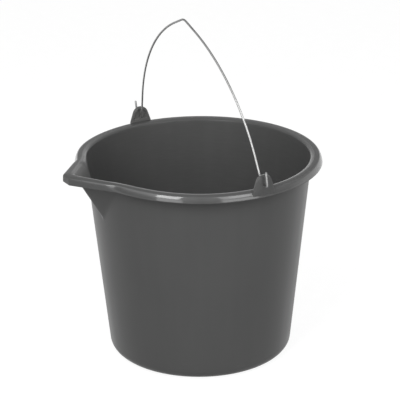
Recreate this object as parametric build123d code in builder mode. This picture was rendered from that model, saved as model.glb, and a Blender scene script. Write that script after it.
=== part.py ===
from build123d import *
import os
from math import asin, atan, cos, degrees, hypot, radians, sin, sqrt, tan

# A builder's bucket with a pouring spout: one moulded body, and a wire bail that swings in its two ears.
# Frame: +Z up, origin on the bucket's axis in the plane it stands on, spout towards -Y, ears on +X and -X.
# Sizes are in millimetres and angles in degrees.

# Wall and floor
rim_height = 255.0
wall_top_radius = 140.3
wall_foot_radius = 114.1
wall = 2.2
foot_corner_radius = 13.5
floor_thickness = 2.6
foot_ring_width = 25.2
recess_depth = 3.0
recess_step = 5.0

# Rim: a flange with its outer edge turned down, level at the back and rising gently towards the spout
rim_width = 12.9
rim_thickness = 2.2
skirt_height = 8.5
skirt_growth = 1.8
shoulder_bevel = 2.5
lip_bevel = 2.0
rise_start = 40.0
rise_at_tip = 6.4

# Spout: the rim's outline runs out to a blunt tip, over a keeled beak that grows out of the wall
spout_throw = 30.2
spout_overhang = 12.0
spout_tip_width = 17.0
spout_root_angle = 21.0
tip_corner_radius = 3.5
spout_blend_radius = 20.0
keel_depth = 60.0
foot_half_angle = 58.0
keel_radius = 4.0

# Ears: arched plates flush with the rim's skirt, with a pocket on the inside
ear_width = 29.6
ear_height = 19.6
ear_crown_radius = 11.0
ear_thickness = 4.0
ear_border = 3.0
ear_pocket = 1.5
pivot_height = 6.2
pivot_clearance = 0.4

# Bail: heights are above the pivot axis, in the plane of the wire, which is drawn with a number of sides
wire_diameter = 2.5
wire_sides = 12
bail_height = 169.0
crown_fall = 23.2
leg_lean = 17.3
shoulder_straight = 19.8
peak_bend = 14.0
end_bend = 3.0
hook_height = 19.0
leg_gap = 0.65
hook_gap = 4.75
bail_lean = 6.3

# Values of the wall and the floor that follow from the sizes above
headroom = 3 * rise_at_tip
wall_top = rim_height + headroom
wall_slope = (wall_top_radius - wall_foot_radius) / rim_height
wall_skin = wall * sqrt(1 + wall_slope**2)
mouth_radius = wall_foot_radius + wall_slope * wall_top
recess_radius = wall_foot_radius - foot_ring_width
floor_radius = wall_foot_radius + wall_slope * floor_thickness - wall_skin
floor_bevel = (foot_corner_radius - wall) * (2 - sqrt(2))

# Values of the rim and the spout that follow from the sizes above
rim_radius = wall_top_radius + rim_width
keel_reach = wall_top_radius + spout_throw
spout_reach = keel_reach + spout_overhang
root_side = rim_radius * sin(radians(spout_root_angle))
root_reach = rim_radius * cos(radians(spout_root_angle))
spout_flare = (root_side - spout_tip_width / 2) / (spout_reach - root_reach)
spout_half_angle = degrees(atan(spout_flare))
spout_vertex = spout_reach + spout_tip_width / 2 / spout_flare
keel_foot_height = rim_height - keel_depth
keel_foot_reach = wall_foot_radius + wall_slope * keel_foot_height
keel_run = (keel_reach - keel_foot_reach) / keel_depth
keel_skin = wall * sqrt(1 + 1 / spout_flare**2 + keel_run**2)
touch = 0.001

# Values of the ears and the bail that follow from the sizes above
pivot = rim_height + pivot_height
ear_face = rim_radius - ear_thickness
wire_radius = wire_diameter / 2
foot_side = ear_face - leg_gap - wire_radius
hook_side = rim_radius + hook_gap + wire_radius
crown_slope = tan(radians(crown_fall))
leg_slope = tan(radians(leg_lean))
shoulder_height = (bail_height - crown_slope * foot_side) / (1 - crown_slope * leg_slope)
shoulder_side = foot_side - leg_slope * shoulder_height
crown_run = hypot(shoulder_side, bail_height - shoulder_height) - peak_bend * crown_slope
leg_run = hypot(shoulder_height, foot_side - shoulder_side) - end_bend * tan(radians(90 - leg_lean) / 2)
shoulder_turn = radians(90 - leg_lean - crown_fall)
shoulder_bend = (min(crown_run, leg_run) - shoulder_straight) / tan(shoulder_turn / 2)
bail_plane = Plane(
    (0, 0, pivot),
    x_dir=(1, 0, 0),
    z_dir=(0, -cos(radians(bail_lean)), -sin(radians(bail_lean))),
)


def beak_sections(inset):
    """Two outlines of the beak, at its foot on the wall and above the rim, moved in by an inset."""
    root = wall_top_radius * cos(radians(45)) - inset
    levels = (
        (keel_foot_height, keel_foot_reach - inset, foot_half_angle),
        (wall_top, keel_reach + keel_run * headroom - inset, spout_half_angle),
    )
    sections = []
    for height, vertex, half_angle in levels:
        root_half = (vertex - root) * tan(radians(half_angle))
        with BuildSketch(Plane.XY.offset(height)) as outline:
            with BuildLine():
                Polyline((-root_half, -root), (0, -vertex), (root_half, -root), close=True)
            make_face()
            fillet(outline.vertices().sort_by(Axis.Y)[0], keel_radius)
        sections.append(outline.sketch)
    return sections


def rim_outline(inset):
    """The rim seen from above, moved in by an inset: a circle run out to the blunt spout."""
    root = spout_vertex * sin(radians(spout_half_angle)) ** 2
    root_half = (spout_vertex - root) * spout_flare
    tip_half = spout_tip_width / 2
    with BuildSketch() as outline:
        Circle(rim_radius)
        with BuildLine():
            Polyline(
                (-root_half, -root),
                (-tip_half, -spout_reach),
                (tip_half, -spout_reach),
                (root_half, -root),
                close=True,
            )
        make_face()
        fillet(outline.vertices().group_by(Axis.Y)[0], tip_corner_radius)
        fillet(outline.vertices().group_by(Axis.Y)[-1], spout_blend_radius)
        if inset > 0:
            offset(amount=-inset)
    return outline.sketch


def rim_band(upper_drop, lower_drop, growth=0.0):
    """The space between two depths below the rim's top, seen along X: level, then rising to the spout.

    The growth is how much deeper the space gets from where the rise starts to the spout's tip.
    """
    back = rim_radius + headroom
    tips = []
    with BuildSketch() as band:
        with BuildLine():
            for drop, rise in ((upper_drop, rise_at_tip), (lower_drop, rise_at_tip - growth)):
                level = rim_height - drop
                radius = ((spout_reach - rise_start) ** 2 + rise**2) / (2 * rise)
                angle = degrees(asin((spout_vertex - rise_start) / radius))
                Line((back, level), (-rise_start, level))
                arc = CenterArc((-rise_start, level + radius), radius, 270 - angle, angle)
                tips.append(arc @ 0)
            Line(tips[0], tips[1])
            Line((back, rim_height - upper_drop), (back, rim_height - lower_drop))
        make_face()
    return band.sketch


def on_outline(edge, outline):
    """Whether the middle of an edge, seen from above, lies on an outline drawn at the base."""
    middle = edge @ 0.5
    return outline.distance_to(Vertex(middle.X, middle.Y, 0)) < touch


# An ear's arch, seen along X, rooted in the rim's skirt
with BuildSketch() as ear_arch:
    with Locations((0, rim_height + ear_height - ear_crown_radius)):
        Circle(ear_crown_radius)
    with Locations((0, rim_height)):
        Rectangle(ear_width, skirt_height / 2, align=(Align.CENTER, Align.MAX))
    make_hull()

# The outside of the wall and the beak, solid, up to the middle of the rim's flange
with BuildPart() as skin:
    with BuildSketch(Plane.XZ):
        with BuildLine():
            FilletPolyline(
                (0, recess_depth),
                (recess_radius - recess_step, recess_depth),
                (recess_radius, 0),
                (wall_foot_radius, 0),
                (mouth_radius, wall_top),
                (0, wall_top),
                radius=[0, 0, foot_corner_radius, 0],
            )
            Line((0, wall_top), (0, recess_depth))
        make_face()
    revolve(axis=Axis.Z)
    loft(beak_sections(0))
    with BuildSketch(Plane.YZ):
        add(rim_band(rim_thickness / 2, rim_height + headroom))
    extrude(amount=rim_radius, both=True, mode=Mode.INTERSECT)

# The space inside the wall and the beak
with BuildPart() as bowl_space:
    with BuildSketch(Plane.XZ):
        with BuildLine():
            Polyline(
                (0, recess_depth + floor_thickness),
                (recess_radius - recess_step, recess_depth + floor_thickness),
                (recess_radius, floor_thickness),
                (floor_radius - floor_bevel, floor_thickness),
                (floor_radius + wall_slope * floor_bevel, floor_thickness + floor_bevel),
                (mouth_radius - wall_skin, wall_top),
                (0, wall_top),
                close=True,
            )
        make_face()
    revolve(axis=Axis.Z)
    loft(beak_sections(keel_skin))

# The space under the rim, inside its skirt
with BuildPart() as skirt_space:
    extrude(rim_outline(rim_thickness), amount=wall_top)
    with BuildSketch(Plane.YZ):
        add(rim_band(rim_thickness, 2 * skirt_height))
    extrude(amount=rim_radius, both=True, mode=Mode.INTERSECT)

# The moulded bucket
with BuildPart() as bucket_body:
    # The rim and the ears, cut from one block seen from above and along X
    extrude(rim_outline(0), amount=pivot + ear_height)
    with BuildSketch(Plane.YZ):
        add(rim_band(0, skirt_height, skirt_growth))
        add(ear_arch.sketch)
    extrude(amount=rim_radius, both=True, mode=Mode.INTERSECT)
    with BuildSketch(Plane.XY.offset(rim_height)):
        Circle(ear_face)
        Rectangle(2 * ear_face, 2 * rise_start, mode=Mode.INTERSECT)
    extrude(amount=2 * ear_height, mode=Mode.SUBTRACT)

    # The broken edge round the outside of the rim
    outline = rim_outline(0).wire()
    flange = bucket_body.faces().filter_by(lambda f: f.normal_at().Z > 0.9).sort_by(SortBy.AREA)[-2:]
    chamfer(flange.edges().filter_by(lambda e: on_outline(e, outline)), shoulder_bevel)

    # The pockets inside the ears, and the holes for the wire
    with BuildSketch(Plane.YZ):
        add(ear_arch.sketch)
        offset(amount=-ear_border)
        with Locations((0, rim_height + ear_border)):
            Rectangle(ear_width, ear_height, align=(Align.CENTER, Align.MIN), mode=Mode.INTERSECT)
    extrude(amount=ear_face + ear_pocket, both=True, mode=Mode.SUBTRACT)
    with BuildSketch(Plane.YZ):
        with Locations((0, pivot)):
            Circle(wire_radius + pivot_clearance)
    extrude(amount=rim_radius, both=True, mode=Mode.SUBTRACT)

    # The hollow rim, then the wall and the beak with their even thickness
    add(skirt_space.part, mode=Mode.SUBTRACT)
    add(skin.part)
    add(bowl_space.part, mode=Mode.SUBTRACT)

    # The broken edge round the mouth, which runs on round the spout
    top_edges = bucket_body.edges().filter_by(lambda e: (e @ 0.5).Z > rim_height - rim_thickness / 2)
    chamfer(top_edges.filter_by(lambda e: bowl_space.part.distance_to(Vertex(e @ 0.5)) < touch), lip_bevel)

# The wire bail: each end passes out through its ear and turns up as a hook
with BuildPart() as wire_bail:
    with BuildLine(bail_plane) as wire_path:
        FilletPolyline(
            (hook_side, hook_height),
            (hook_side, 0),
            (foot_side, 0),
            (shoulder_side, shoulder_height),
            (0, bail_height),
            (-shoulder_side, shoulder_height),
            (-foot_side, 0),
            (-hook_side, 0),
            (-hook_side, hook_height),
            radius=[end_bend, end_bend, shoulder_bend, peak_bend, shoulder_bend, end_bend, end_bend],
        )
    with BuildSketch(Plane(wire_path.line @ 0, x_dir=bail_plane.x_dir, z_dir=wire_path.line % 0)):
        RegularPolygon(wire_radius, wire_sides)
    sweep(path=wire_path.line)

bucket_body.part.label = "bucket_body"
wire_bail.part.label = "wire_bail"

os.makedirs("parts", exist_ok=True)
export_step(bucket_body.part, "parts/bucket_body.step")
export_step(wire_bail.part, "parts/wire_bail.step")
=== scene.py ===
from math import atan, atan2, acos, cos, degrees, hypot, pi, radians, sin, sqrt, tan

import bmesh
import bpy
from mathutils import Matrix, Vector


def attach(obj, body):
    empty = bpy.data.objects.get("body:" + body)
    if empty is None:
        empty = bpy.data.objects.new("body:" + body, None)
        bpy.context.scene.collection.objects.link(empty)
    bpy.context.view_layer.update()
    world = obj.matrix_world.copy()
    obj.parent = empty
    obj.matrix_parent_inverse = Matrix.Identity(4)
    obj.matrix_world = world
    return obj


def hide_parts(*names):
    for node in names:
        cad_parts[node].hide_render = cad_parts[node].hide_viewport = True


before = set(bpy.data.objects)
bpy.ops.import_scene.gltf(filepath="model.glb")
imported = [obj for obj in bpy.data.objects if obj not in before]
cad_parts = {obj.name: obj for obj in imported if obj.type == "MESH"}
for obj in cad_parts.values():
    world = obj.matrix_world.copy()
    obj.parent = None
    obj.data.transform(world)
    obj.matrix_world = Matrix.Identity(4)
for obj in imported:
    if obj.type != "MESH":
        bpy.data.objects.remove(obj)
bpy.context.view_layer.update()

# Lengths are in metres and angles in degrees. The spout points to -Y, and the ears are on +X and -X.
plastic_slot = "bucket_plastic"
wire_slot = "bail_wire"

# The photograph's camera: where it stands, how it is turned, and its focal length in widths of the picture
camera_azimuth = 60.0
camera_distance = 2.0299
camera_height = 0.9733
camera_pitch = 21.02
camera_yaw = -0.036
camera_roll = -0.58
focal_length = 4.35
sensor_width = 36.0
view_depth = 100.0

# The bucket's wall, floor and foot, as in the CAD model
rim_height = 0.255
wall_top_radius = 0.1403
wall_foot_radius = 0.1141
wall = 0.0022
foot_corner = 0.0135
floor_thickness = 0.0026
recess_radius = 0.0889
recess_depth = 0.003
recess_step = 0.005
wall_slope = (wall_top_radius - wall_foot_radius) / rim_height
wall_skin = wall * hypot(1.0, wall_slope)

# The rim's section: a round lip at the mouth, a crown that falls outwards, a shoulder and a convex skirt
rim_radius = 0.1532
rim_thickness = 0.0022
skirt_height = 0.0085
skirt_growth = 0.0018
skirt_edge = 0.0006
skirt_slopes = (10.0, 33.0)
spout_skirt_slopes = (1.5, 4.0)
rise_start = 0.040
rise_at_tip = 0.0064
lip_width = 0.0065
lip_height = 0.0032
crown_fall_angle = 11.0
shoulder_radius = 0.0025
flange_fillet = 0.0008

# The spout: the rim's outline above the keeled beak
spout_reach = 0.1825
spout_tip_half = 0.0085
spout_root_angle = 21.0
tip_blend = 0.001
root_blend = 0.0011
keel_reach = 0.1705
keel_depth = 0.060
keel_skin = 0.00318
keel_round = 0.012
foot_half_angle = 58.0
beak_root = 0.0992
beak_top = 0.2742
beak_blend = 0.0015
beak_margin = 0.005
funnel_depth = 0.024
funnel_width = 0.006
spout_zone = 40.0
slope_step = 0.004
spout_lip_width = 0.012
spout_lip_height = 0.012
lip_corner_limit = 0.75
spout_fillet = 0.0095
spout_lip_start = 27.0
spout_lip_full = 14.0

# The ears: arched plates flush with the rim, each with a pocket on the inside and a hole for the wire
ear_half = 0.0148
ear_height = 0.0196
ear_crown = 0.011
ear_thickness = 0.004
ear_border = 0.003
ear_pocket = 0.0015
ear_slope = 0.0011
ear_root = 0.0055
ear_edge = 0.0009
ear_hole = 0.00165

# The bail's wire, as in the CAD model, with sides and heights from the pivot in the plane of the wire
pivot_height = 0.2612
bail_lean = 6.3
wire_radius = 0.00125
foot_side = 0.1473
hook_side = 0.1592
hook_height = 0.019
bail_height = 0.169
crown_fall = 23.2
leg_lean = 17.3
shoulder_bend = 0.20186
peak_bend = 0.014
end_bend = 0.003
wire_end_round = 0.0004

# How finely the pieces are divided and shaded: parts of each run, and degrees round half of the bucket
foot_parts = 10
wall_parts = 8
beak_parts = 20
skirt_parts = 10
shoulder_parts = 6
crown_parts = 8
lip_parts = 10
corner_parts = 8
under_rim_every = 4
bucket_steps = ((0.2, 25), (0.6, 35), (1.54, 100))
ear_foot_parts = 5
ear_side_parts = (4, 5)
ear_arch_parts = 13
wire_ring = 20
wire_step = 0.0012
wire_bend_parts = 8
edge_share = 0.3
shell_crease = 35.0
wire_crease = 50.0

# The plastic: the sizes of its marks, its colours, and how strong its wear and its painted light are
noise_wide = (0.25, 0.75)
noise_middle = (0.3, 0.7)
noise_narrow = (0.35, 0.65)
even_stretch = (1.0, 1.0, 1.0)
streak_stretch = (1.0, 1.0, 0.05)
scuff_stretch = (0.12, 0.12, 1.0)
cloud_scale = 14.0
streak_scale = 60.0
grain_scale = 900.0
scuff_scale = 420.0
plastic_dark = (0.071, 0.0715, 0.0715, 1.0)
plastic_light = (0.075, 0.0755, 0.075, 1.0)
plastic_streak = (0.082, 0.0825, 0.082, 1.0)
plastic_worn_and_lit = (0.12, 0.12, 0.118, 1.0)
plastic_rubbed = (0.11, 0.11, 0.108, 1.0)
streak_share = 0.3
worn_share = 0.3
worn_radius = 0.002
worn_limits = (0.998, 0.95)
worn_patches = (0.3, 1.0)
rubbed_share = 0.4
rubbed_height = 0.05
rubbed_limits = (0.55, 0.75)
# Painted light inside: shares over the scuff noise, its limits, and an extra share in the spout
inside_light_shares = (0.13, 0.24)
inside_light_limits = (0.4, 0.7)
spout_light_share = 0.42
plastic_roughness = (0.33, 0.37)
streak_roughness = 0.03
rubbed_roughness = 0.1
grain_depth = 0.00004
grain_strength = 0.3
scuff_depth = 0.0001
scuff_strength = 0.4

# Painted light inside, and polish: limits for the normal, outwards or upwards, and for the place
inside_limits = (-0.3, -0.7)
ear_inside_limits = (-0.2, -0.6)
ear_inside_light_share = 0.9
ear_side_limits = (0.96, 0.8)
shoulder_limits = (0.2, 0.35)
skirt_limits = (0.08, 0.2)
lip_limits = (-0.02, -0.1)
lip_level_limits = (0.65, 0.9)
lip_polish = 0.8
spout_light_front = (-0.122, -0.148)
polish_heights = (0.243, 0.247)
polish_front = (-0.178, -0.164)
polish_shares = (0.85, 1.0)

# The wire's zinc: marks, colours, and where its legs get a painted highlight, by distance along it from the
# middle
line_stretch = (12.0, 10.0, 1.0)
line_limits = (0.4, 0.7)
line_share = 0.3
line_depth = 0.00002
line_strength = 0.1
spot_scale = 260.0
zinc_dark = (0.29, 0.292, 0.295, 1.0)
zinc_light = (0.33, 0.33, 0.326, 1.0)
zinc_line = (0.38, 0.38, 0.376, 1.0)
zinc_painted_highlight = (0.54, 0.54, 0.536, 1.0)
zinc_roughness = (0.48, 0.54)
leg_highlight_start = (0.1, 0.18)
leg_highlight_end = (0.245, 0.23)
leg_polish = 0.1

# Light: each lamp's azimuth from the camera, elevation, width and height, all in degrees, and its level
lamp_distance = 1.7
lamp_aim = 0.2
lamps = (
    ("lamp_left_low", -24.5, 7.0, 22.0, 24.0, 2.5),
    ("lamp_left_high", -26.8, 36.0, 18.6, 26.0, 8.0),
    ("lamp_right_low", 36.0, 7.0, 32.0, 24.0, 2.7),
    ("lamp_right_high", 38.0, 36.5, 17.0, 25.0, 1.3),
    ("lamp_right_soft", 37.0, 36.5, 29.0, 27.0, 2.8),
    ("lamp_fill", -58.0, 45.0, 50.0, 40.0, 0.8),
)
sky_front = 0.18
sky_back = 1.0
sky_top = 0.42
sky_turn_limits = (-0.3, 0.5)
sky_rise_limits = (0.18, 0.39)
white = (1.0, 1.0, 1.0, 1.0)
floor_colour = (0.2, 0.2, 0.2, 1.0)
floor_glow = 0.88
floor_half = 12.0
speckle_scale = 40.0
speckle_share = 0.02


class Shader:
    """The node tree of a material or of the world, with short ways to add nodes and links."""

    def __init__(self, owner, output="OutputMaterial"):
        self.owner = owner
        owner.use_nodes = True
        self.tree = owner.node_tree
        self.tree.nodes.clear()
        self.output = self.node(output)

    def node(self, kind, **settings):
        """Adds a node of a kind, with its settings."""
        made = self.tree.nodes.new("ShaderNode" + kind)
        for name, value in settings.items():
            setattr(made, name, value)
        return made

    def put(self, socket, value):
        """Sets a socket to a number or colour, or links it to an output."""
        if isinstance(value, bpy.types.NodeSocket):
            self.tree.links.new(value, socket)
        else:
            socket.default_value = value

    def math(self, operation, first, second=0.0):
        """The result of an operation on one or two numbers."""
        made = self.node("Math", operation=operation)
        self.put(made.inputs[0], first)
        self.put(made.inputs[1], second)
        return made.outputs[0]

    def product(self, first, *others):
        """Multiplies numbers."""
        for other in others:
            first = self.math("MULTIPLY", first, other)
        return first

    def ramp(self, value, limits, bottom=0.0, top=1.0):
        """Carries a value smoothly from the range between two limits to another range."""
        made = self.node("MapRange", interpolation_type="SMOOTHSTEP")
        for socket, number in zip(made.inputs, (value, *limits, bottom, top)):
            self.put(socket, number)
        return made.outputs[0]

    def mix(self, factor, first, second):
        """Mixes two colours, whose sockets come after those for numbers and vectors."""
        made = self.node("Mix", data_type="RGBA")
        self.put(made.inputs["Factor"], factor)
        self.put(made.inputs[6], first)
        self.put(made.inputs[7], second)
        return made.outputs[2]

    def dot(self, first, second):
        """How far two unit vectors point the same way."""
        made = self.node("VectorMath", operation="DOT_PRODUCT")
        self.put(made.inputs[0], first)
        self.put(made.inputs[1], second)
        return made.outputs["Value"]

    def parts(self, vector):
        """The three numbers of a vector, by the names of their axes."""
        made = self.node("SeparateXYZ")
        self.put(made.inputs[0], vector)
        return made.outputs

    def stretch(self, coordinates, scale):
        """Coordinates multiplied along each axis."""
        made = self.node("Mapping")
        self.put(made.inputs["Vector"], coordinates)
        self.put(made.inputs["Scale"], scale)
        return made.outputs[0]

    def place(self, scale):
        """The object's own coordinates, stretched along its axes."""
        return self.stretch(self.node("TexCoord").outputs["Object"], scale)

    def noise(self, vector, scale, detail=3.0, roughness=0.55):
        """Cloudy noise between 0 and 1."""
        made = self.node("TexNoise")
        self.put(made.inputs["Vector"], vector)
        self.put(made.inputs["Scale"], scale)
        self.put(made.inputs["Detail"], detail)
        self.put(made.inputs["Roughness"], roughness)
        return made.outputs["Fac"]

    def bump(self, height, depth, strength, normal=None):
        """A normal that is tilted by a height, on top of another normal where one is given."""
        made = self.node("Bump")
        self.put(made.inputs["Height"], height)
        self.put(made.inputs["Distance"], depth)
        self.put(made.inputs["Strength"], strength)
        if normal is not None:
            self.put(made.inputs["Normal"], normal)
        return made.outputs[0]

    def show(self, surface):
        """Links a surface to the output, and gives back the material or world."""
        self.tree.links.new(surface, self.output.inputs["Surface"])
        return self.owner

    def finish(self, **sockets):
        """Makes the surface from the Principled shader with these inputs."""
        surface = self.node("BsdfPrincipled")
        for name, value in sockets.items():
            self.put(surface.inputs[name.replace("_", " ")], value)
        return self.show(surface.outputs[0])


def plastic_material(name, ear):
    """Dark recycled plastic: satin, faintly clouded and streaked by its flow, worn along its edges, with
    painted light inside.
    """
    shader = Shader(bpy.data.materials.new(name))
    even = shader.place(even_stretch)
    clouds = shader.noise(even, cloud_scale)
    streaks = shader.noise(shader.place(streak_stretch), streak_scale, detail=1.0)
    grain = shader.noise(even, grain_scale, detail=2.0)
    scuffs = shader.noise(shader.place(scuff_stretch), scuff_scale, detail=5.0, roughness=0.7)

    # Edges are found where the normal of a wider round leaves the true one
    rounded = shader.node("Bevel", samples=6)
    shader.put(rounded.inputs["Radius"], worn_radius)
    geometry = shader.node("NewGeometry")
    edges = shader.ramp(shader.dot(rounded.outputs[0], geometry.outputs["True Normal"]), worn_limits)
    worn = shader.product(edges, shader.ramp(clouds, noise_narrow, *worn_patches))

    # The lower wall is rubbed by what it stands on
    position = shader.parts(geometry.outputs["Position"])
    rubbed = shader.product(shader.ramp(position["Z"], (rubbed_height, 0.0)),
                            shader.ramp(scuffs, rubbed_limits))

    # How far the surface faces away from the bucket's axis
    flat = shader.node("VectorMath", operation="MULTIPLY")
    shader.put(flat.inputs[0], geometry.outputs["Position"])
    shader.put(flat.inputs[1], (1.0, 1.0, 0.0))
    outward = shader.node("VectorMath", operation="NORMALIZE")
    shader.put(outward.inputs[0], flat.outputs[0])
    facing = shader.dot(outward.outputs[0], geometry.outputs["Normal"])

    # Hands polish the ears' sides and the rim's lip and shoulder, but not its crown or its upright skirt
    if ear:
        rounds = shader.ramp(shader.math("ABSOLUTE", facing), ear_side_limits)
    else:
        upward = shader.parts(geometry.outputs["Normal"])["Z"]
        lip = shader.product(shader.ramp(facing, lip_limits, 0.0, lip_polish),
                             shader.ramp(upward, lip_level_limits))
        rounds = shader.math("ADD", shader.ramp(facing, shoulder_limits), lip)
        rounds = shader.product(rounds, shader.ramp(upward, skirt_limits))
    polished = shader.product(rounds, shader.ramp(position["Z"], polish_heights),
                              shader.ramp(position["Y"], polish_front),
                              shader.ramp(clouds, noise_middle, *polish_shares))

    # Tone: clouds, streaks, worn edges, then painted light on the inside and on the ears' inner faces
    tone = shader.mix(shader.ramp(clouds, noise_wide), plastic_dark, plastic_light)
    tone = shader.mix(shader.ramp(streaks, noise_middle, 0.0, streak_share), tone, plastic_streak)
    tone = shader.mix(shader.product(worn, worn_share), tone, plastic_worn_and_lit)
    # Painted light: the inside and the ears' inner faces are painted lighter, most of all in the spout
    if ear:
        painted_inside_light = shader.ramp(facing, ear_inside_limits, 0.0, ear_inside_light_share)
    else:
        painted_inside_light = shader.math("ADD", shader.ramp(scuffs, inside_light_limits, *inside_light_shares),
                              shader.ramp(position["Y"], spout_light_front, 0.0, spout_light_share))
        painted_inside_light = shader.product(painted_inside_light, shader.ramp(facing, inside_limits))
    tone = shader.mix(painted_inside_light, tone, plastic_worn_and_lit)
    tone = shader.mix(shader.product(rubbed, rubbed_share), tone, plastic_rubbed)
    gloss = shader.math("ADD", shader.ramp(clouds, noise_middle, *plastic_roughness),
                        shader.ramp(streaks, noise_middle, 0.0, streak_roughness))
    gloss = shader.math("ADD", gloss, shader.product(rubbed, rubbed_roughness))
    skin = shader.bump(grain, grain_depth, grain_strength)
    skin = shader.bump(shader.product(rubbed, scuffs), scuff_depth, scuff_strength, skin)
    return shader.finish(Base_Color=tone, Roughness=gloss, Normal=skin, IOR=1.5, Specular_IOR_Level=0.2,
                         Coat_Weight=polished, Coat_Roughness=0.09, Coat_IOR=1.6)


def steel_material():
    """Drawn, galvanised wire: dull zinc with spots, lines along it, and smoother legs with a painted
    highlight.
    """
    shader = Shader(bpy.data.materials.new("galvanised_wire"))
    along = shader.node("UVMap").outputs[0]
    lines = shader.noise(shader.stretch(along, line_stretch), 1.0)
    spots = shader.noise(shader.place(even_stretch), spot_scale, detail=4.0, roughness=0.65)
    reach = shader.math("ABSOLUTE", shader.parts(along)["X"])
    leg_highlight = shader.product(shader.ramp(reach, leg_highlight_start), shader.ramp(reach, leg_highlight_end))
    tone = shader.mix(shader.ramp(spots, noise_middle), zinc_dark, zinc_light)
    tone = shader.mix(shader.ramp(lines, line_limits, 0.0, line_share), tone, zinc_line)
    # Painted highlight: the lower legs are painted bright
    tone = shader.mix(leg_highlight, tone, zinc_painted_highlight)
    dull = shader.math("SUBTRACT", shader.ramp(spots, noise_middle, *zinc_roughness),
                       shader.product(leg_highlight, leg_polish))
    skin = shader.bump(lines, line_depth, line_strength)
    return shader.finish(Base_Color=tone, Metallic=1.0, Roughness=dull, Normal=skin)


def ring_mesh(name, rings, closed, sharp_angle):
    """A closed skin over rings of points. The last ring joins the first, or both ends are capped."""
    count = len(rings[0])
    vertices = [point for ring in rings for point in ring]
    faces = []
    for ring in range(len(rings) if closed else len(rings) - 1):
        first = ring * count
        second = (ring + 1) % len(rings) * count
        for part in range(count):
            following = (part + 1) % count
            faces.append((first + part, first + following, second + following, second + part))
    if not closed:
        last = (len(rings) - 1) * count
        faces.append(tuple(reversed(range(count))))
        faces.append(tuple(last + part for part in range(count)))
    mesh = bpy.data.meshes.new(name)
    mesh.from_pydata(vertices, [], faces)
    surface = bmesh.new()
    surface.from_mesh(mesh)
    bmesh.ops.recalc_face_normals(surface, faces=surface.faces)
    surface.to_mesh(mesh)
    surface.free()
    mesh.shade_smooth()
    mesh.set_sharp_from_angle(angle=radians(sharp_angle))
    return mesh


def add_piece(name, mesh, material, body, slot, *nodes):
    """Adds a mesh as a piece that rides on a body, and stands for the CAD nodes that are named."""
    mesh.materials.append(material)
    piece = bpy.data.objects.new(name, mesh)
    bpy.context.scene.collection.objects.link(piece)
    if nodes:
        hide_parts(*nodes)
    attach(piece, body)


def soft_max(first, second, blend):
    """The larger of two lengths, rounded where they are nearly the same."""
    overlap = max(blend - abs(first - second), 0.0) / blend
    return max(first, second) + overlap * overlap * blend / 4


def soft_min(first, second, blend):
    """The smaller of two lengths, rounded in the same way."""
    return -soft_max(-first, -second, blend)


def ramp_down(value, low, high):
    """1 below one value and 0 above the other, with a smooth fall between them."""
    part = min(max((value - low) / (high - low), 0.0), 1.0)
    return 1.0 - part * part * (3.0 - 2.0 * part)


def rows(start, stop, parts):
    """Even steps from one number to another, without the first."""
    return [start + (stop - start) * part / parts for part in range(1, parts + 1)]


def arc(reach, height, radius, start, stop, parts):
    """Points of an arc in a section, from one angle to another."""
    angles = [radians(angle) for angle in (start, *rows(start, stop, parts))]
    return [(reach + radius * cos(angle), height + radius * sin(angle)) for angle in angles]


def rise(forward, at_tip):
    """How far the rim has risen at a distance from the axis towards the spout."""
    run = max(0.0, forward - rise_start)
    radius = ((spout_reach - rise_start) ** 2 + at_tip**2) / (2 * at_tip)
    return radius - sqrt(radius**2 - run**2)


def rim_reach(turn, inset):
    """The distance from the axis to the rim's outline, moved in by an inset, at an angle from the spout."""
    if abs(turn) > radians(spout_zone):
        return rim_radius - inset
    root = radians(spout_root_angle)
    root_side, root_reach = rim_radius * sin(root), rim_radius * cos(root)
    lean = atan2(spout_reach - root_reach, root_side - spout_tip_half)
    distance = root_side * sin(lean) + root_reach * cos(lean)
    side = (distance - inset) / (sin(lean) * abs(sin(turn)) + cos(lean) * cos(turn))
    tip = (spout_reach - inset) / cos(turn)
    return soft_max(rim_radius - inset, soft_min(side, tip, tip_blend), root_blend)


def rim_profile(slopes):
    """The rim's outside from the skirt's foot up to the crown, as insets, drops and slopes from upright."""
    foot = skirt_height - skirt_edge
    width = rim_radius - wall_top_radius + wall_skin
    low, high, last = radians(slopes[0]), radians(slopes[1]), radians(90.0 - crown_fall_angle)
    half_slope = tan(radians(crown_fall_angle)) / 2
    shoulder_across = shoulder_radius * (cos(high) - cos(last))
    shoulder_down = shoulder_radius * (sin(last) - sin(high))
    crown = half_slope * (width - lip_width - shoulder_across)
    skirt_share = sin(high) - sin(low) - half_slope * (cos(low) - cos(high))
    skirt_radius = (foot - shoulder_down - crown) / skirt_share
    points = []
    for slope in (low, *rows(low, high, skirt_parts)):
        across = skirt_radius * (cos(low) - cos(slope))
        up = skirt_radius * (sin(slope) - sin(low))
        points.append((across, foot - up, slope))
    inset, drop, _ = points[-1]
    for slope in rows(high, last, shoulder_parts):
        across = shoulder_radius * (cos(high) - cos(slope))
        up = shoulder_radius * (sin(slope) - sin(high))
        points.append((inset + across, drop - up, slope))
    return points


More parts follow.
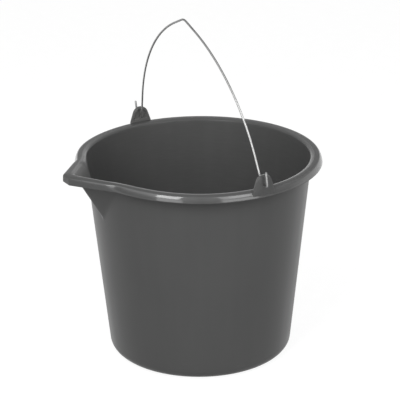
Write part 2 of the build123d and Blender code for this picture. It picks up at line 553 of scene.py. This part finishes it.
def wall_reach(turn, height, skin=0.0, beak_skin=0.0):
    """The distance from the axis to the wall or the beak, less a skin, at an angle from the spout."""
    cone = wall_foot_radius + wall_slope * height - skin
    foot = rim_height - keel_depth
    if abs(turn) > radians(spout_zone) or height < foot - beak_margin:
        return cone
    foot_reach = wall_foot_radius + wall_slope * foot
    keel_run = (keel_reach - foot_reach) / keel_depth
    vertex = foot_reach + keel_run * (height - foot)
    top_vertex = foot_reach + keel_run * (beak_top - foot)
    root = radians(spout_root_angle)
    flare = (rim_radius * sin(root) - spout_tip_half) / (spout_reach - rim_radius * cos(root))
    foot_half = (foot_reach - beak_root) * tan(radians(foot_half_angle))
    top_half = (top_vertex - beak_root) * flare
    half = foot_half + (top_half - foot_half) * (height - foot) / (beak_top - foot)
    half += funnel_width * max(0.0, 1 - (rim_height - height) / funnel_depth) ** 2
    sideways = (vertex - beak_root) / half * hypot(sin(turn), keel_round)
    return soft_max(cone, (vertex - beak_skin) / (cos(turn) + sideways), beak_blend)


def section(turn):
    """The bucket's section at an angle from the spout: from under the floor, up outside and down inside."""
    forward = cos(turn)
    lean = degrees(atan(wall_slope))
    foot_centre = wall_foot_radius + wall_slope * foot_corner - foot_corner * hypot(1.0, wall_slope)
    beak_foot = rim_height - keel_depth - beak_margin

    def top(reach):
        return rim_height + rise(reach * forward, rise_at_tip)

    def bottom(reach):
        return rim_height - skirt_height + rise(reach * forward, rise_at_tip - skirt_growth)

    # The foot and the outside of the wall, up to the flange
    points = [(recess_radius - recess_step, recess_depth), (recess_radius, 0.0)]
    points += arc(foot_centre, foot_corner, foot_corner, -90.0, -lean, foot_parts)
    spout = ramp_down(degrees(abs(turn)), spout_lip_full, spout_lip_start)
    fillet = flange_fillet + (spout_fillet - flange_fillet) * spout
    under = top(wall_reach(turn, rim_height)) - rim_thickness
    for height in rows(points[-1][1], beak_foot, wall_parts) + rows(beak_foot, under - fillet, beak_parts):
        points.append((wall_reach(turn, height), height))
    points.append((points[-1][0] + fillet, under))

    # The inside of the rim, round its lower edge, and up the skirt and over the shoulder
    profile = []
    for first, second in zip(rim_profile(skirt_slopes), rim_profile(spout_skirt_slopes)):
        profile.append([start + (stop - start) * spout for start, stop in zip(first, second)])
    inner = rim_reach(turn, rim_thickness)
    edge = rim_reach(turn, 0.0)
    stretch = (top(edge) - bottom(edge) - skirt_edge) / (skirt_height - skirt_edge)
    for inset, drop, slope in reversed(profile[under_rim_every::under_rim_every]):
        reach = rim_reach(turn, inset + rim_thickness * cos(slope))
        points.append((reach, top(reach) - drop * stretch - rim_thickness * sin(slope)))
    points.append((inner, bottom(inner)))
    for inset, lift in ((1.0, 0.0), (edge_share, edge_share)):
        reach = rim_reach(turn, inset * skirt_edge)
        points.append((reach, bottom(reach) + lift * skirt_edge))
    for inset, drop, _ in profile:
        reach = rim_reach(turn, inset)
        points.append((reach, top(reach) - drop * stretch))
    last_inset, last_drop, _ = profile[-1]

    # The crown, and the lip, a curve that runs from the crown into the inside of the wall
    lip_across = lip_width + (spout_lip_width - lip_width) * spout
    lip_down = lip_height + (spout_lip_height - lip_height) * spout
    mouth_height = top(wall_reach(turn, rim_height)) - lip_down
    mouth = wall_reach(turn, mouth_height, wall_skin, keel_skin)
    slope = (mouth - wall_reach(turn, mouth_height - slope_step, wall_skin, keel_skin)) / slope_step
    apex = mouth + lip_across
    lip = top(apex)
    corner = mouth + min(slope * (lip - mouth_height), lip_corner_limit * lip_across)
    outer = rim_reach(turn, last_inset)
    for along in rows(0.0, 1.0, crown_parts):
        reach = outer + (apex - outer) * along
        points.append((reach, top(reach) - last_drop * stretch * (1 - along) ** 2))
    for along in rows(0.0, 1.0, lip_parts):
        reach = apex * (1 - along) ** 2 + 2 * corner * along * (1 - along) + mouth * along**2
        points.append((reach, lip + (mouth_height - lip) * along**2))

    # The inside of the wall and the floor
    inner_corner = foot_corner - wall
    turned = arc(foot_centre, floor_thickness + inner_corner, inner_corner, -lean, -90.0, corner_parts)
    heights = rows(mouth_height, beak_foot, beak_parts) + rows(beak_foot, turned[0][1], wall_parts)[:-1]
    points += [(wall_reach(turn, height, wall_skin, keel_skin), height) for height in heights]
    points += turned
    points.append((recess_radius, floor_thickness))
    points.append((recess_radius - recess_step, floor_thickness + recess_depth))
    return points


def make_bucket(material):
    """The moulded bucket, on the same lines as its CAD solid, with its edges rounded."""
    half = [0.0]
    for step, count in bucket_steps:
        for _ in range(count):
            half.append(half[-1] + step)
    turns = [radians(turn) for turn in half + [-turn for turn in reversed(half[1:-1])]]
    lines = []
    for turn in turns:
        outward = Vector((sin(turn), -cos(turn), 0.0))
        lines.append([outward * reach + Vector((0.0, 0.0, height)) for reach, height in section(turn)])
    mesh = ring_mesh("bucket_shell", list(zip(*lines)), False, shell_crease)
    add_piece("bucket_shell", mesh, material, "bucket", plastic_slot, "bucket_body")


def ear_loop(inset, foot):
    """An ear's arch, moved in by an inset, as sides and heights all round from the middle of its foot."""
    centre = rim_height + ear_height - ear_crown
    fall = rim_height - centre
    start = atan2(fall, ear_half) + acos(ear_crown / hypot(ear_half, fall))
    crown = ear_crown - inset
    first = Vector((crown * cos(start), centre + crown * sin(start)))
    down = Vector((sin(start), -cos(start)))
    corner = first + down * ((ear_half - inset - first.x) / down.x)
    if corner.y > foot:
        low = Vector((corner.x, foot))
        runs = ((low, corner, ear_side_parts[0]), (corner, first, ear_side_parts[1]))
    else:
        low = first + down * ((foot - first.y) / down.y)
        runs = ((low, first, sum(ear_side_parts)),)
    side = [Vector((across, foot)) for across in (0.0, *rows(0.0, low.x, ear_foot_parts))]
    for begin, end, parts in runs:
        side += [begin.lerp(end, along) for along in rows(0.0, 1.0, parts)]
    for angle in rows(start, pi / 2, ear_arch_parts):
        side.append(Vector((crown * cos(angle), centre + crown * sin(angle))))
    return side + [Vector((-point.x, point.y)) for point in reversed(side[1:-1])]


def make_ears(material):
    """The two ears, rooted in the rim's shoulder."""
    root = rim_height - ear_root
    part_edge = edge_share * ear_edge
    loop, mid, near = (ear_loop(inset, root + inset) for inset in (0.0, part_edge, ear_edge))
    pocket_insets = (ear_border, ear_border + ear_slope)
    pocket, pocket_floor = (ear_loop(inset, rim_height + inset) for inset in pocket_insets)
    hole = []
    for across, height in loop:
        angle = atan2(height - pivot_height, across)
        hole.append((ear_hole * cos(angle), pivot_height + ear_hole * sin(angle)))
    inner = rim_radius - ear_thickness

    def outside(points, depth):
        return [(sqrt(rim_radius**2 - across**2) - depth, across, height) for across, height in points]

    def inside(points, depth):
        return [(inner + depth, across, height) for across, height in points]

    rings = [
        outside(hole, 0.0),
        outside(near, 0.0),
        outside(mid, part_edge),
        outside(loop, ear_edge),
        inside(loop, ear_edge),
        inside(mid, part_edge),
        inside(near, 0.0),
        inside(pocket, 0.0),
        inside(pocket_floor, ear_pocket),
        inside(hole, ear_pocket),
    ]
    for name, side in (("ear_right", 1.0), ("ear_left", -1.0)):
        placed = [[Vector((side * x, y, z)) for x, y, z in ring] for ring in rings]
        add_piece(name, ring_mesh(name, placed, True, shell_crease), material, "bucket", plastic_slot)


def bent_path(corners, radii, step):
    """Points along straight runs that are joined by arcs, with a radius for each inner corner."""
    points = [corners[0]]
    for before, corner, after, radius in zip(corners, corners[1:], corners[2:], radii):
        inward = (corner - before).normalized()
        outward = (after - corner).normalized()
        turn = inward.angle(outward)
        setback = radius * tan(turn / 2)
        side = (outward - inward * inward.dot(outward)).normalized()
        start = corner - inward * setback
        centre = start + side * radius
        parts = max(wire_bend_parts, round(radius * turn / step))
        for angle in (0.0, *rows(0.0, turn, parts)):
            points.append(centre - side * radius * cos(angle) + inward * radius * sin(angle))
    points.append(corners[-1])
    return points


def wire_rings(points, across, radius):
    """Rings of a round wire along points in a plane, with softened ends. The vector is the plane's normal."""
    spots = []
    for index, point in enumerate(points):
        before = points[max(index - 1, 0)]
        after = points[min(index + 1, len(points) - 1)]
        along = (after - before).normalized()
        spots.append((point, along.cross(across).normalized(), radius))
    for end, inner in ((0, 1), (-1, -2)):
        point, side, _ = spots[end]
        back = (points[inner] - point).normalized() * wire_end_round
        spots.insert(1 if end == 0 else len(spots) - 1, (point + back, side, radius))
        spots[end] = (point, side, radius - wire_end_round)
    angles = [2 * pi * part / wire_ring for part in range(wire_ring)]
    rings = []
    for point, side, size in spots:
        rings.append([point + (side * cos(angle) + across * sin(angle)) * size for angle in angles])
    return rings


def map_along(mesh, rings):
    """A UV map with the length along the rings from their middle and the part of the way round them."""
    runs = [0.0]
    for start, stop in zip(rings, rings[1:]):
        runs.append(runs[-1] + (stop[0] - start[0]).length)
    layer = mesh.uv_layers.new(name="along_wire")
    for polygon in mesh.polygons:
        for loop in polygon.loop_indices:
            ring, part = divmod(mesh.loops[loop].vertex_index, len(rings[0]))
            layer.data[loop].uv = (runs[ring] - runs[-1] / 2, part / len(rings[0]))


def make_bail():
    """The bail as one smooth bent wire, on the same line as its CAD solid."""
    lean = radians(bail_lean)
    up = Vector((0.0, -sin(lean), cos(lean)))
    across = Vector((0.0, -cos(lean), -sin(lean)))
    crown_slope = tan(radians(crown_fall))
    leg_slope = tan(radians(leg_lean))
    shoulder_height = (bail_height - crown_slope * foot_side) / (1 - crown_slope * leg_slope)
    shoulder_side = foot_side - leg_slope * shoulder_height
    half = (
        (hook_side, hook_height),
        (hook_side, 0.0),
        (foot_side, 0.0),
        (shoulder_side, shoulder_height),
    )
    flat = [*half, (0.0, bail_height), *[(-side, height) for side, height in reversed(half)]]
    pivot = Vector((0.0, 0.0, pivot_height))
    corners = [pivot + Vector((side, 0.0, 0.0)) + up * height for side, height in flat]
    radii = (end_bend, end_bend, shoulder_bend, peak_bend, shoulder_bend, end_bend, end_bend)
    rings = wire_rings(bent_path(corners, radii, wire_step), across, wire_radius)
    mesh = ring_mesh("bail_round_wire", rings, False, wire_crease)
    map_along(mesh, rings)
    add_piece("bail_round_wire", mesh, steel_material(), "bail", wire_slot, "wire_bail")


def round_the_object(azimuth, elevation, distance, height):
    """A point round the object, with its azimuth counted to the right of the photograph's camera."""
    turn = radians(camera_azimuth + azimuth)
    rise_angle = radians(elevation)
    level = distance * cos(rise_angle)
    return Vector((level * sin(turn), -level * cos(turn), height + distance * sin(rise_angle)))


def make_camera():
    """The camera that took the photograph."""
    turn = Matrix.Rotation(radians(camera_azimuth + camera_yaw), 4, "Z")
    tilt = Matrix.Rotation(radians(90.0 - camera_pitch), 4, "X")
    roll = Matrix.Rotation(radians(camera_roll), 4, "Z")
    data = bpy.data.cameras.new("photo_camera")
    data.sensor_width = sensor_width
    data.lens = focal_length * sensor_width
    data.clip_end = view_depth
    camera = bpy.data.objects.new("photo_camera", data)
    bpy.context.scene.collection.objects.link(camera)
    spot = round_the_object(0.0, 0.0, camera_distance, camera_height)
    camera.matrix_world = Matrix.Translation(spot) @ turn @ tilt @ roll
    bpy.context.scene.camera = camera


def make_floor():
    """A plain white floor that keeps the object's shadow."""
    shader = Shader(bpy.data.materials.new("floor_white"))
    speckle = shader.noise(shader.place(even_stretch), speckle_scale)
    speckle = shader.ramp(speckle, noise_middle, 0.0, speckle_share)
    surface = shader.node("BsdfDiffuse")
    shader.put(surface.inputs["Color"], shader.mix(speckle, floor_colour, white))
    path = shader.node("LightPath")
    seen = shader.math("MAXIMUM", path.outputs["Is Camera Ray"], path.outputs["Is Glossy Ray"])
    seen = shader.math("MAXIMUM", seen, path.outputs["Is Transmission Ray"])
    glow = shader.node("Emission")
    shader.put(glow.inputs["Strength"], shader.product(seen, floor_glow))
    both = shader.node("AddShader")
    shader.put(both.inputs[0], surface.outputs[0])
    shader.put(both.inputs[1], glow.outputs[0])
    shader.show(both.outputs[0])
    mesh = bpy.data.meshes.new("floor")
    corners = [(-floor_half, -floor_half, 0.0), (floor_half, -floor_half, 0.0)]
    corners += [(floor_half, floor_half, 0.0), (-floor_half, floor_half, 0.0)]
    mesh.from_pydata(corners, [], [(0, 1, 2, 3)])
    mesh.materials.append(shader.owner)
    floor = bpy.data.objects.new("floor", mesh)
    bpy.context.scene.collection.objects.link(floor)


def make_sky():
    """The room: a white backdrop behind the object, and a darker side and ceiling over the camera."""
    world = bpy.data.worlds.new("studio_room")
    shader = Shader(world, "OutputWorld")
    direction = shader.node("TexCoord").outputs["Generated"]
    away = -round_the_object(0.0, 0.0, 1.0, 0.0)
    low_level = shader.ramp(shader.dot(direction, tuple(away)), sky_turn_limits, sky_front, sky_back)
    high = shader.ramp(shader.parts(direction)["Z"], sky_rise_limits)
    change = shader.product(high, shader.math("SUBTRACT", sky_top, low_level))
    level = shader.math("ADD", low_level, change)
    background = shader.node("Background")
    shader.put(background.inputs["Color"], white)
    shader.put(background.inputs["Strength"], level)
    bpy.context.scene.world = shader.show(background.outputs[0])


def make_lamps():
    """Soft boxes on both sides of the camera, low and high, and a weak one far to the left."""
    aim = Vector((0.0, 0.0, lamp_aim))
    for name, azimuth, elevation, width, height, level in lamps:
        data = bpy.data.lights.new(name, "AREA")
        data.shape = "RECTANGLE"
        data.size = 2 * lamp_distance * tan(radians(width / 2))
        data.size_y = 2 * lamp_distance * tan(radians(height / 2))
        data.energy = level * pi * data.size * data.size_y
        lamp = bpy.data.objects.new(name, data)
        lamp.location = round_the_object(azimuth, elevation, lamp_distance, aim.z)
        lamp.rotation_euler = (aim - lamp.location).to_track_quat("-Z", "Y").to_euler()
        lamp.visible_camera = False
        bpy.context.scene.collection.objects.link(lamp)


make_bucket(plastic_material("moulded_plastic", False))
make_ears(plastic_material("moulded_plastic_ears", True))
make_bail()
make_camera()
make_floor()
make_sky()
make_lamps()
bpy.context.scene.view_settings.view_transform = "Standard"
